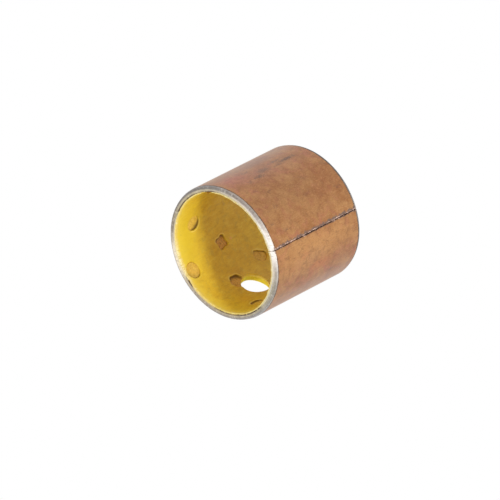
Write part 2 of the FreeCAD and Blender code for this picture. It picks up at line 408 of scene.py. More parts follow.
copper = rolled(
    "copper_flash", RC, COPPER_LIMIT,
    lambda a, y: rho_hole(a, y, RC) < HOLE_R,
    [hole_rings(RC, [(HOLE_R, 120, True), (3.02, 120, False), (3.05, 120, False), (3.1, 120, False), (3.22, 100, False), (3.45, 72, False)], 3.7)],
    copper_in,
    copper_out,
    move=copper_move,
    shift=copper_shift,
)

# --- sintered bronze: shows in the pocket floors, the hole wall and the end faces
RB = 12.6
BRONZE_LIMIT = 12.47


def pocket_rings(r_ref, circles, keep_out):
    return [
        (math.radians(turn) * r_ref, axial, circles, keep_out)
        for turn, axial in POCKETS
    ]


def bronze_in(a, y):
    p = nearest_pocket(a, y, RB)
    depth = pocket_value(a, y, RB, 3)
    level = R_BORE + depth
    w = 1 - smooth(p, POCKET_R - 0.13, POCKET_R - 0.03)
    grain = 0.012 * noise1(a * 5.1 + 3.3 * y, 31) + 0.012 * noise1(y * 4.3 - 2.9 * a, 32)
    return R_SINTER + 0.003 + w * (level + grain - R_SINTER)


bronze = rolled(
    "bronze_layer", RB, BRONZE_LIMIT,
    lambda a, y: rho_hole(a, y, RB) < HOLE_R,
    [hole_rings(RB, [(HOLE_R, 96, True), (3.1, 72, False), (3.4, 60, False)], 3.6)]
    + pocket_rings(RB, [(0.5, 12, False), (1.0, 24, False), (1.35, 32, False), (1.56, 40, False), (1.62, 40, False), (1.70, 40, True)], 1.95),
    bronze_in,
    lambda a, y: np.full(np.shape(a), R_STEEL),
)

# --- acetal lining
RL = 12.6


def lining_edge(a):
    """How far the plastic stops short of the end face, round the bush."""
    w = 0.060 + 0.045 * fbm1(a * 0.9, 3) + 0.035 * fbm1(a * 2.6, 4)
    return w


NICKS = [  # angle phi in degrees, width mm, depth mm, on the -Y end
    (277.5, 0.35, 0.30), (281.0, 0.5, 0.14), (207.0, 0.4, 0.16), (163.0, 0.9, 0.10),
    (318.0, 0.5, 0.12), (340.0, 0.8, 0.08), (234.0, 0.3, 0.10), (25.0, 0.5, 0.1),
    (101.0, 0.4, 0.12), (136.0, 0.5, 0.14), (300.0, 0.3, 0.08),
]


def lining_move(a, y):
    edge = smooth(np.abs(y), HALF - 0.55, HALF)
    back = lining_edge(a + np.where(y > 0, 37.0, 0.0))
    for phi, width, depth in NICKS:
        turn = phi - PHI0
        while turn > SEAM:
            turn -= 360.0
        d = np.abs(a - math.radians(turn) * RL) / width
        back = back + np.where(y < 0, depth * np.clip(1 - d, 0, 1) ** 1.5, 0.0)
    return y - np.sign(y) * edge * back + pocket_pull(a, y, RL)[1]


def lining_in(a, y):
    d = HALF - np.abs(y)
    lip = 0.16 + 0.05 * fbm1(a * 1.7, 12)
    r = R_BORE + 0.85 * fillet(d / lip * 0.16, 0.16)
    bell = np.clip(1 - d / (1.15 + 0.25 * fbm1(a * 0.5, 14)), 0, 1)
    turn = np.degrees(a / RL) + PHI0
    side = smooth(turn, 4.0, 34.0) + smooth(-turn, 360.0 - 160.0, 360.0 - 128.0)
    push = np.where(y < 0, 0.26 * np.clip(side, 0, 1) * (1 - smooth(d, 0.05, 0.85)), 0.0)
    r = r - push * (0.8 + 0.35 * fbm1(a * 1.1, 17))
    r = r + 0.070 * bell ** 2 * (1 + 1.3 * fbm1(a * 1.3, 15) + 0.8 * fbm1(a * 3.2 + y, 16))
    r = r + fillet(joint_distance(a, RL), 0.10)
    r = r + fillet(rho_hole(a, y, RL) - HOLE_R, 0.09)
    p = nearest_pocket(a, y, RL)
    u = np.clip((POCKET_R + 0.17 - p) / 0.17, 0, 1)
    r = r + 0.26 * (1 - np.sqrt(np.maximum(1 - u * u, 0)))
    return np.minimum(r, R_SINTER - 0.02)


lining = rolled(
    "acetal_sleeve", RL, HALF,
    lambda a, y: (rho_hole(a, y, RL) < HOLE_R) | (nearest_pocket(a, y, RL) < POCKET_R),
    [hole_rings(RL, [(HOLE_R, 120, True), (3.015, 120, False), (3.04, 120, False), (3.09, 96, False), (3.2, 80, False), (3.4, 64, False)], 3.65)]
    + pocket_rings(RL, [(POCKET_R, 56, True), (1.665, 56, False), (1.68, 56, False), (1.71, 56, False), (1.76, 48, False), (1.84, 40, False), (2.0, 36, False)], 2.2),
    lining_in,
    lambda a, y: np.full(np.shape(a), R_SINTER),
    move=lining_move,
    sharp=45.0,
    shift=lambda a, y: pocket_pull(a, y, RL)[0],
)


# ------------------------------------------------------------------ materials
class Nodes:
    def __init__(self, name):
        self.mat = bpy.data.materials.new(name)
        self.mat.use_nodes = True
        self.t = self.mat.node_tree
        self.t.nodes.clear()
        self.out = self.t.nodes.new("ShaderNodeOutputMaterial")
        self.x = 0

    def node(self, kind, **props):
        n = self.t.nodes.new(kind)
        for k, v in props.items():
            setattr(n, k, v)
        n.location = (self.x, 0)
        self.x -= 60
        return n

    def put(self, socket, value):
        if isinstance(value, bpy.types.NodeSocket):
            self.t.links.new(value, socket)
        elif value is not None:
            if socket.type == "RGBA" and len(value) == 3:
                value = (*value, 1.0)
            socket.default_value = value

    def math(self, op, a, b=None, c=None, clamp=False):
        n = self.node("ShaderNodeMath", operation=op, use_clamp=clamp)
        for s, v in zip(n.inputs, (a, b, c)):
            self.put(s, v)
        return n.outputs[0]

    def vec(self, op, a, b=None):
        n = self.node("ShaderNodeVectorMath", operation=op)
        self.put(n.inputs[0], a)
        if b is not None:
            self.put(n.inputs[1], b)
        return n.outputs["Value"] if op in ("LENGTH", "DOT_PRODUCT", "DISTANCE") else n.outputs["Vector"]

    def split(self, v):
        n = self.node("ShaderNodeSeparateXYZ")
        self.put(n.inputs[0], v)
        return n.outputs

    def join(self, x, y, z):
        n = self.node("ShaderNodeCombineXYZ")
        for s, v in zip(n.inputs, (x, y, z)):
            self.put(s, v)
        return n.outputs[0]

    def attribute(self, name):
        n = self.node("ShaderNodeAttribute", attribute_type="GEOMETRY", attribute_name=name)
        return n.outputs["Vector"]

    def position(self, scale=(1000, 1000, 1000)):
        """The object's own coordinates, in millimetres by default."""
        n = self.node("ShaderNodeTexCoord")
        return self.vec("MULTIPLY", n.outputs["Object"], scale)

    def noise(self, vector, scale=1.0, detail=3.0, rough=0.55, distortion=0.0):
        n = self.node("ShaderNodeTexNoise", noise_dimensions="3D")
        self.put(n.inputs["Vector"], vector)
        n.inputs["Scale"].default_value = scale
        n.inputs["Detail"].default_value = detail
        n.inputs["Roughness"].default_value = rough
        n.inputs["Distortion"].default_value = distortion
        return n.outputs["Fac"]

    def voronoi(self, vector, scale=1.0, feature="F1"):
        n = self.node("ShaderNodeTexVoronoi", feature=feature)
        self.put(n.inputs["Vector"], vector)
        n.inputs["Scale"].default_value = scale
        return n.outputs["Distance"]

    def ramp(self, fac, lo, hi, to_lo=0.0, to_hi=1.0, kind="SMOOTHSTEP"):
        n = self.node("ShaderNodeMapRange", interpolation_type=kind)
        self.put(n.inputs["Value"], fac)
        for key, v in (("From Min", lo), ("From Max", hi), ("To Min", to_lo), ("To Max", to_hi)):
            n.inputs[key].default_value = v
        return n.outputs["Result"]

    def colour(self, fac, a, b, blend="MIX"):
        n = self.node("ShaderNodeMix", data_type="RGBA", blend_type=blend)
        self.put(n.inputs[0], fac)
        self.put(n.inputs[6], a)
        self.put(n.inputs[7], b)
        return n.outputs[2]

    def round_angle(self, strip):
        """Angle round the bush as a fraction of a turn, 0 to 1."""
        s = self.split(strip)[0]
        turn = self.math("MULTIPLY", s, 1.0 / (2 * math.pi * 14.0))
        n = self.node("ShaderNodeMath", operation="WRAP")
        self.put(n.inputs[0], turn)
        n.inputs[1].default_value = 1.0
        n.inputs[2].default_value = 0.0
        return n.outputs[0]

    def stops(self, fac, table):
        """A colour band: table holds (position, colour)."""
        n = self.node("ShaderNodeValToRGB")
        el = n.color_ramp.elements
        while len(el) < len(table):
            el.new(0.5)
        for e, (pos, col) in zip(el, sorted(table)):
            e.position = pos
            e.color = (*col, 1.0) if len(col) == 3 else col
        self.put(n.inputs[0], fac)
        return n.outputs[0]

    def stains(self, base, vector, table):
        for s, z, rs, rz, col, k in table:
            base = self.colour(self.math("MULTIPLY", self.blob(vector, s, z, rs, rz), k), base, col)
        return base

    def blob(self, strip, s, z, rs, rz, soft=0.0):
        """1 at arc s and height z on the strip, falling to 0 at about rs and rz."""
        s = s if s < 17.8 else s - 2 * math.pi * 14.0
        d = self.vec("SUBTRACT", strip, (s, z - 12.5, 0.0))
        d = self.vec("MULTIPLY", d, (1.0 / rs, 1.0 / rz, 0.0))
        return self.ramp(self.vec("LENGTH", d), soft, 1.25, 1.0, 0.0)

    def bump(self, height, distance, strength=1.0, normal=None):
        n = self.node("ShaderNodeBump")
        self.put(n.inputs["Height"], height)
        n.inputs["Distance"].default_value = distance
        n.inputs["Strength"].default_value = strength
        if normal is not None:
            self.put(n.inputs["Normal"], normal)
        return n.outputs["Normal"]

    def principled(self, **inputs):
        n = self.node("ShaderNodeBsdfPrincipled")
        for k, v in inputs.items():
            self.put(n.inputs[k.replace("_", " ")], v)
        self.t.links.new(n.outputs[0], self.out.inputs["Surface"])
        return n


SEAM_S = math.radians(SEAM + PHI0) * 14.0
TURN_S = 2 * math.pi * 14.0
HOLE_S = math.radians(HOLE_ANGLE + PHI0) * 14.0


def hole_wall(m, strip):
    """1 on the wall of the oil hole."""
    s, y, r = m.split(strip)
    across = m.math("MULTIPLY", r, m.math("SINE", m.math("MULTIPLY", m.math("SUBTRACT", s, HOLE_S), 1 / 14.0)))
    rho = m.vec("LENGTH", m.join(across, y, 0.0))
    this_side = m.ramp(m.math("ABSOLUTE", m.math("SUBTRACT", s, HOLE_S)), 5.0, 6.0, 1.0, 0.0)
    return m.math("MULTIPLY", m.ramp(rho, 3.012, 3.035, 1.0, 0.0), this_side)


def copper_material():
    m = Nodes("copper_flash")
    strip = m.attribute("strip")
    pos = m.position()
    s, y, _ = m.split(strip)
    # rolled grain runs along the bush, a little slanted
    grain = m.noise(m.vec("MULTIPLY", pos, (1.0, 0.12, 1.0)), 5.0, 4.0, 0.62)
    fine = m.noise(m.vec("MULTIPLY", pos, (1.0, 0.35, 1.0)), 7.0, 3.0, 0.65)
    cloud = m.noise(m.vec("ADD", pos, (3.0, 7.0, 1.0)), 0.30, 4.0, 0.62, 0.5)
    rosy = m.noise(m.vec("ADD", pos, (41.0, 5.0, 17.0)), 0.42, 4.0, 0.65, 0.6)
    mottle = m.noise(m.vec("ADD", pos, (9.0, 2.0, 31.0)), 0.80, 4.0, 0.60, 0.6)
    base = m.colour(m.ramp(cloud, 0.38, 0.62), (0.560, 0.222, 0.060), (0.730, 0.358, 0.122))
    base = m.colour(m.math("MULTIPLY", m.ramp(rosy, 0.48, 0.64), 0.75), base, (0.66, 0.228, 0.112))
    marks = [
        # s, z, rs, rz, colour, strength
        (14.5, 12.0, 4.5, 18.0, (0.90, 0.455, 0.150), 0.90),
        (13.0, 10.0, 2.0, 5.5, (0.84, 0.44, 0.180), 0.50),
        (10.2, 13.5, 1.6, 4.0, (0.80, 0.275, 0.100), 0.75),
        (13.8, 8.5, 1.0, 2.2, (0.82, 0.32, 0.120), 0.50),
        (11.9, 4.8, 0.8, 1.4, (0.76, 0.28, 0.110), 0.45),
        (9.5, 20.0, 2.0, 3.5, (0.60, 0.235, 0.095), 0.55),
        (21.5, 12.0, 3.0, 16.0, (0.66, 0.320, 0.110), 0.60),
        (27.0, 12.0, 5.0, 18.0, (0.56, 0.262, 0.092), 0.60),
        (26.5, 21.0, 5.0, 4.0, (0.54, 0.200, 0.060), 0.65),
        (24.0, 17.0, 2.2, 3.0, (0.55, 0.225, 0.080), 0.45),
        (36.5, 4.5, 3.4, 4.4, (0.72, 0.225, 0.150), 0.85),
        (34.5, 9.5, 2.6, 5.0, (0.62, 0.235, 0.140), 0.60),
        (34.5, 14.0, 5.0, 13.0, (0.58, 0.270, 0.165), 0.45),
        (39.0, 13.0, 2.6, 14.0, (0.52, 0.300, 0.220), 0.55),
        (5.2, 12.0, 1.8, 16.0, (0.58, 0.300, 0.190), 0.55),
    ]
    warp = m.vec("SUBTRACT", m.join(m.noise(pos, 0.9, 3.0), m.noise(pos, 0.7, 3.0), 0.5), (0.5, 0.5, 0.5))
    warped = m.vec("ADD", strip, m.vec("MULTIPLY", warp, (2.6, 4.6, 0.0)))
    base = m.stains(base, warped, marks)
    # small blotches, darker and lighter
    base = m.colour(m.math("MULTIPLY", m.ramp(mottle, 0.50, 0.34), 0.38), base, (0.40, 0.135, 0.040))
    base = m.colour(m.math("MULTIPLY", m.ramp(mottle, 0.53, 0.70), 0.38), base, (0.86, 0.45, 0.180))
    # stains with ragged outlines
    rag = m.vec("SUBTRACT", m.join(m.noise(pos, 2.4, 4.0, 0.7), m.noise(m.vec("ADD", pos, (5.0, 5.0, 5.0)), 2.4, 4.0, 0.7), 0.5), (0.5, 0.5, 0.5))
    ragged = m.vec("ADD", strip, m.vec("MULTIPLY", rag, (2.2, 5.2, 0.0)))
    flecks = [
        (34.6, 18.5, 0.60, 2.8, (0.13, 0.075, 0.060), 0.90),
        (35.6, 16.0, 0.50, 2.4, (0.26, 0.150, 0.120), 0.70),
        (34.0, 15.5, 0.35, 1.6, (0.24, 0.125, 0.090), 0.65),
        (34.6, 11.5, 1.00, 2.4, (0.25, 0.145, 0.105), 0.70),
        (33.4, 9.2, 0.60, 1.5, (0.14, 0.080, 0.060), 0.85),
        (33.0, 6.0, 0.60, 0.8, (0.26, 0.110, 0.070), 0.60),
        (36.6, 8.5, 0.50, 1.6, (0.34, 0.175, 0.130), 0.60),
        (29.0, 7.0, 0.50, 0.7, (0.28, 0.115, 0.060), 0.60),
        (30.5, 4.5, 0.40, 0.6, (0.32, 0.130, 0.075), 0.50),
        (25.5, 5.5, 0.45, 0.6, (0.30, 0.125, 0.065), 0.60),
        (25.0, 14.2, 0.60, 1.0, (0.34, 0.130, 0.060), 0.55),
        (28.5, 16.5, 0.80, 1.1, (0.36, 0.150, 0.075), 0.45),
        (20.5, 5.0, 0.45, 0.8, (0.28, 0.125, 0.070), 0.60),
        (22.6, 2.2, 0.40, 0.9, (0.30, 0.150, 0.090), 0.50),
        (23.5, 22.6, 0.60, 0.8, (0.28, 0.110, 0.060), 0.60),
        (29.5, 23.3, 0.60, 0.7, (0.32, 0.150, 0.090), 0.50),
        (12.5, 20.6, 0.50, 1.0, (0.42, 0.165, 0.080), 0.50),
        (14.6, 22.8, 0.50, 0.9, (0.40, 0.180, 0.090), 0.50),
        (7.0, 17.5, 0.50, 1.3, (0.28, 0.140, 0.095), 0.60),
        (6.6, 3.0, 0.60, 1.2, (0.32, 0.170, 0.120), 0.50),
        (9.0, 7.5, 0.40, 0.9, (0.44, 0.190, 0.095), 0.50),
    ]
    base = m.stains(base, ragged, flecks)
    # streaks of the rolled grain
    base = m.colour(m.math("MULTIPLY", m.ramp(grain, 0.50, 0.74), 0.45), base, (0.42, 0.135, 0.040))
    base = m.colour(m.math("MULTIPLY", m.ramp(fine, 0.50, 0.70), 0.36), base, (0.88, 0.49, 0.230))
    base = m.colour(m.math("MULTIPLY", m.ramp(fine, 0.50, 0.32), 0.30), base, (0.46, 0.155, 0.045))
    # the joint: a dull grey band above it, a dark line under it
    wave = m.noise(m.join(m.math("MULTIPLY", s, 0.8), y, 0.0), 1.3, 4.0, 0.7)
    above = m.math("ADD", m.math("ADD", s, TURN_S - SEAM_S), m.math("MULTIPLY", m.math("SUBTRACT", wave, 0.5), 2.0))
    band = m.ramp(above, 0.35, 0.80, 1.0, 0.0)
    base = m.colour(m.math("MULTIPLY", band, 0.85), base, (0.27, 0.180, 0.150))
    below = m.math("ADD", m.math("SUBTRACT", SEAM_S, s), m.math("MULTIPLY", m.math("SUBTRACT", m.noise(m.join(m.math("MULTIPLY", s, 0.8), y, 4.0), 1.6, 4.0, 0.7), 0.5), 0.9))
    line = m.math("MULTIPLY", m.ramp(below, 0.04, 0.30, 1.0, 0.0), m.ramp(y, -4.0, 2.5, 0.45, 0.95))
    base = m.colour(line, base, (0.12, 0.068, 0.058))
    spots = [(SEAM_S - 0.1, 24.2, 0.5, 0.5, (0.13, 0.085, 0.075), 0.8), (SEAM_S + 0.3, 24.3, 0.5, 0.4, (0.16, 0.10, 0.085), 0.8)]
    base = m.stains(base, strip, spots)
    # painted shade along each end of the copper, just short of the chamfer, with a ragged line
    d = m.math("SUBTRACT", 12.12, m.math("ABSOLUTE", y))
    edge = m.ramp(m.math("ADD", d, m.math("MULTIPLY", m.math("SUBTRACT", mottle, 0.5), 0.40)), 0.10, 0.36, 1.0, 0.0)
    base = m.colour(m.math("MULTIPLY", edge, 0.88), base, (0.12, 0.070, 0.050))
    # yellow on the oil hole's wall: smeared plastic, and a painted reflection of the yellow lining
    base = m.colour(hole_wall(m, strip), base, (0.90, 0.72, 0.08))
    rough = m.ramp(m.math("ADD", m.math("MULTIPLY", mottle, 0.6), m.math("MULTIPLY", grain, 0.4)), 0.3, 0.7, 0.38, 0.54, "LINEAR")
    height = m.math("ADD", m.math("MULTIPLY", grain, 0.6), m.math("MULTIPLY", fine, 0.4))
    n1 = m.bump(height, 0.00006, 0.45)
    n2 = m.bump(mottle, 0.00020, 0.25, n1)
    n3 = m.bump(cloud, 0.0004, 0.12, n2)
    p = m.principled(Base_Color=base, Metallic=1.0, Roughness=rough, Normal=n3)
    p.inputs["Coat Weight"].default_value = 1.0
    p.inputs["Coat Roughness"].default_value = 0.32
    p.inputs["Coat IOR"].default_value = 1.5
    return m.mat


def steel_material():
    m = Nodes("bare_steel")
    strip = m.attribute("strip")
    pos = m.position()
    s, y, r = m.split(strip)
    turn = m.round_angle(strip)
    deg = 1 / 360.0
    # shearing and chamfering marks run round the ring, with small burrs across it; the burrs also carry painted glints
    ring = m.join(m.math("MULTIPLY", s, 0.12), m.math("MULTIPLY", y, 9.0), m.math("MULTIPLY", r, 9.0))
    marks = m.noise(ring, 1.6, 3.0, 0.6)
    burr_glint = m.noise(m.join(m.math("MULTIPLY", s, 2.3), m.math("MULTIPLY", y, 0.9), m.math("MULTIPLY", r, 1.1)), 1.0, 4.0, 0.65)
    blot = m.noise(pos, 1.1, 3.0, 0.6, 0.3)
    # the near-white sectors of these bands, at about 55–105° and 230–270°, are painted glints across the circular
    # grain
    inner = m.stops(turn, [
        (0, (0.56, 0.50, 0.36)), (20 * deg, (0.53, 0.48, 0.35)), (40 * deg, (0.56, 0.51, 0.39)),
        (54 * deg, (0.84, 0.74, 0.60)), (68 * deg, (0.99, 0.95, 0.90)), (92 * deg, (0.99, 0.95, 0.89)),
        (104 * deg, (0.80, 0.74, 0.66)), (122 * deg, (0.88, 0.78, 0.66)), (140 * deg, (0.68, 0.61, 0.50)),
        (165 * deg, (0.66, 0.59, 0.44)), (205 * deg, (0.68, 0.60, 0.42)), (226 * deg, (0.42, 0.36, 0.28)),
        (244 * deg, (0.90, 0.82, 0.66)), (266 * deg, (0.84, 0.75, 0.56)), (290 * deg, (0.60, 0.52, 0.40)),
        (330 * deg, (0.66, 0.58, 0.43)), (1.0, (0.56, 0.50, 0.36)),
    ])
    outer = m.stops(turn, [
        (0, (0.46, 0.43, 0.41)), (22 * deg, (0.50, 0.465, 0.40)), (42 * deg, (0.50, 0.46, 0.38)),
        (56 * deg, (0.72, 0.64, 0.56)), (68 * deg, (0.97, 0.92, 0.87)), (90 * deg, (0.92, 0.85, 0.78)),
        (102 * deg, (0.60, 0.53, 0.48)), (125 * deg, (0.47, 0.40, 0.36)), (150 * deg, (0.38, 0.345, 0.315)),
        (170 * deg, (0.32, 0.29, 0.265)), (208 * deg, (0.33, 0.295, 0.27)), (228 * deg, (0.46, 0.395, 0.34)),
        (255 * deg, (0.56, 0.49, 0.45)), (300 * deg, (0.46, 0.405, 0.37)), (1.0, (0.46, 0.43, 0.41)),
    ])
    bevel = m.stops(turn, [
        (0, (0.58, 0.585, 0.60)), (35 * deg, (0.60, 0.56, 0.50)), (58 * deg, (0.96, 0.91, 0.86)),
        (92 * deg, (0.94, 0.87, 0.80)), (104 * deg, (0.76, 0.68, 0.61)), (130 * deg, (0.72, 0.63, 0.57)), (158 * deg, (0.42, 0.405, 0.40)),
        (200 * deg, (0.40, 0.385, 0.38)), (222 * deg, (0.60, 0.54, 0.51)), (260 * deg, (0.72, 0.65, 0.61)),
        (320 * deg, (0.66, 0.60, 0.58)), (1.0, (0.58, 0.585, 0.60)),
    ])
    ragged_r = m.math("ADD", r, m.math("MULTIPLY", m.math("SUBTRACT", burr_glint, 0.5), 0.32))
    spread = m.stops(turn, [
        (0, (0.12, 0.12, 0.12)), (150 * deg, (0.10, 0.10, 0.10)), (205 * deg, (0.22, 0.22, 0.22)),
        (228 * deg, (0.36, 0.36, 0.36)), (262 * deg, (0.40, 0.40, 0.40)), (300 * deg, (0.24, 0.24, 0.24)),
        (1.0, (0.12, 0.12, 0.12)),
    ])
    face = m.colour(m.ramp(m.math("SUBTRACT", ragged_r, m.split(spread)[0]), 13.14, 13.36), inner, outer)
    end = m.ramp(m.math("ABSOLUTE", y), 12.40, 12.47)
    base = m.colour(end, bevel, face)
    base = m.colour(m.math("MULTIPLY", m.ramp(blot, 0.44, 0.70), 0.22), base, (0.46, 0.42, 0.38))
    base = m.colour(m.math("MULTIPLY", m.ramp(marks, 0.52, 0.76), 0.22), base, (0.34, 0.31, 0.28))
    base = m.colour(m.math("MULTIPLY", m.ramp(burr_glint, 0.46, 0.30), 0.34), base, (0.26, 0.225, 0.20))
    # painted glints: near-white specks on the burrs
    base = m.colour(m.math("MULTIPLY", m.ramp(burr_glint, 0.53, 0.68), 0.42), base, (0.98, 0.93, 0.86))
    # painted shade along the far chamfer; beside the joint the bare edge is stained
    far = m.math("MULTIPLY", m.math("MULTIPLY", m.ramp(y, 11.85, 12.0), m.ramp(y, 12.42, 12.47, 1.0, 0.0)), 0.80)
    base = m.colour(far, base, (0.20, 0.180, 0.165))
    near_joint = m.math("MINIMUM", m.math("ABSOLUTE", m.math("SUBTRACT", s, SEAM_S)), m.math("ABSOLUTE", m.math("SUBTRACT", s, SEAM_S - TURN_S)))
    stain = m.math("MULTIPLY", m.ramp(near_joint, 0.5, 0.9, 1.0, 0.0), m.ramp(m.math("ABSOLUTE", y), 12.0, 12.35, 1.0, 0.0))
    tone = m.colour(m.ramp(m.noise(pos, 1.5, 3.0, 0.65), 0.42, 0.58), (0.24, 0.155, 0.125), (0.66, 0.470, 0.380))
    base = m.colour(stain, base, tone)
    # yellow on the oil hole's wall: smeared plastic, and a painted reflection of the yellow lining
    base = m.colour(hole_wall(m, strip), base, (0.92, 0.74, 0.07))
    rough = m.ramp(blot, 0.3, 0.7, 0.60, 0.78, "LINEAR")
    n1 = m.bump(marks, 0.00003, 0.5)
    n2 = m.bump(burr_glint, 0.00012, 0.55, n1)
    n3 = m.bump(blot, 0.0002, 0.10, n2)
    p = m.principled(Base_Color=base, Metallic=1.0, Roughness=rough, Normal=n3)
    tangent = m.node("ShaderNodeTangent", direction_type="RADIAL", axis="Y")
    m.t.links.new(tangent.outputs[0], p.inputs["Tangent"])
    p.inputs["Anisotropic"].default_value = 0.78
    p.inputs["Anisotropic Rotation"].default_value = 0.25
    return m.mat


def bronze_material():
    m = Nodes("sintered_bronze")
    strip = m.attribute("strip")
    pos = m.position()
    s, y, r = m.split(strip)
    turn = m.round_angle(strip)
    deg = 1 / 360.0
    u, v, _ = m.split(m.attribute("pocket"))
    shade, tint, _ = m.split(m.attribute("pocket_look"))
    speck = m.voronoi(pos, 4.5)
    blot = m.noise(pos, 1.6, 4.0, 0.65, 0.3)
    grit = m.noise(m.vec("ADD", pos, (8.0, 1.0, 4.0)), 3.2, 4.0, 0.7)
    yellow = m.colour(m.ramp(blot, 0.35, 0.7), (0.74, 0.49, 0.045), (0.88, 0.63, 0.075))
    brown = m.colour(m.ramp(blot, 0.35, 0.7), (0.60, 0.290, 0.075), (0.84, 0.47, 0.160))
    base = m.colour(tint, yellow, brown)
    base = m.colour(m.math("MULTIPLY", m.ramp(speck, 0.05, 0.42, 1.0, 0.0), m.math("MULTIPLY", tint, 0.9)), base, (0.90, 0.55, 0.32))
    base = m.colour(m.math("MULTIPLY", m.ramp(grit, 0.50, 0.34), m.math("ADD", 0.15, m.math("MULTIPLY", tint, 0.7))), base, (0.26, 0.12, 0.03))
    # painted shadow on one side of each pocket floor
    far = m.math("ADD", u, m.math("MULTIPLY", m.math("SUBTRACT", grit, 0.5), 0.7))
    far = m.math("ADD", far, m.math("MULTIPLY", m.math("MULTIPLY", v, v), 0.25))
    base = m.colour(m.math("MULTIPLY", m.ramp(far, 0.36, 0.84), shade), base, (0.17, 0.095, 0.018))
    # a painted shade ring round the edge of each pocket floor
    floor_edge_shade = m.ramp(m.vec("LENGTH", m.join(u, v, 0.0)), 0.80, 0.97)
    base = m.colour(m.math("MULTIPLY", floor_edge_shade, m.math("MULTIPLY", shade, 0.40)), base, (0.16, 0.085, 0.020))
    # the sheared end, smeared over with plastic and steel in places; its light sectors at about 58–97° and 238–272°
    # are painted glint
    end = m.ramp(m.math("ABSOLUTE", y), 12.30, 12.40)
    dark = (0.085, 0.050, 0.022)
    ends = m.stops(turn, [
        (0, dark), (9 * deg, dark), (16 * deg, (0.55, 0.49, 0.36)), (40 * deg, (0.60, 0.57, 0.51)),
        (58 * deg, (0.84, 0.76, 0.64)), (97 * deg, (0.84, 0.77, 0.66)), (120 * deg, (0.70, 0.60, 0.46)),
        (146 * deg, (0.46, 0.38, 0.24)), (156 * deg, (0.13, 0.085, 0.045)), (172 * deg, (0.34, 0.26, 0.13)),
        (186 * deg, (0.12, 0.08, 0.04)), (207 * deg, (0.12, 0.075, 0.04)), (215 * deg, (0.56, 0.48, 0.32)),
        (238 * deg, (0.84, 0.72, 0.44)), (272 * deg, (0.84, 0.71, 0.42)), (276 * deg, (0.12, 0.07, 0.03)),
        (283 * deg, (0.14, 0.09, 0.04)), (287 * deg, (0.70, 0.56, 0.27)), (311 * deg, (0.60, 0.46, 0.20)),
        (318 * deg, dark), (336 * deg, (0.30, 0.21, 0.09)), (342 * deg, dark), (1.0, dark),
    ])
    patch = m.noise(m.vec("MULTIPLY", strip, (1.1, 0.0, 0.0)), 1.0, 4.0, 0.65)
    ends = m.colour(m.math("MULTIPLY", m.ramp(patch, 0.52, 0.62), 0.70), ends, (0.66, 0.55, 0.32))
    ends = m.colour(m.math("MULTIPLY", m.ramp(patch, 0.42, 0.34), 0.55), ends, (0.16, 0.10, 0.05))
    base = m.colour(end, base, ends)
    # yellow on the oil hole's wall: smeared plastic, and a painted reflection of the yellow lining
    base = m.colour(hole_wall(m, strip), base, (0.86, 0.62, 0.06))
    n1 = m.bump(m.noise(pos, 6.0, 3.0, 0.6), 0.00008, 0.6)
    n2 = m.bump(grit, 0.00015, 0.5, n1)
    m.principled(Base_Color=base, Metallic=0.0, Roughness=0.62, Normal=n2)
    return m.mat


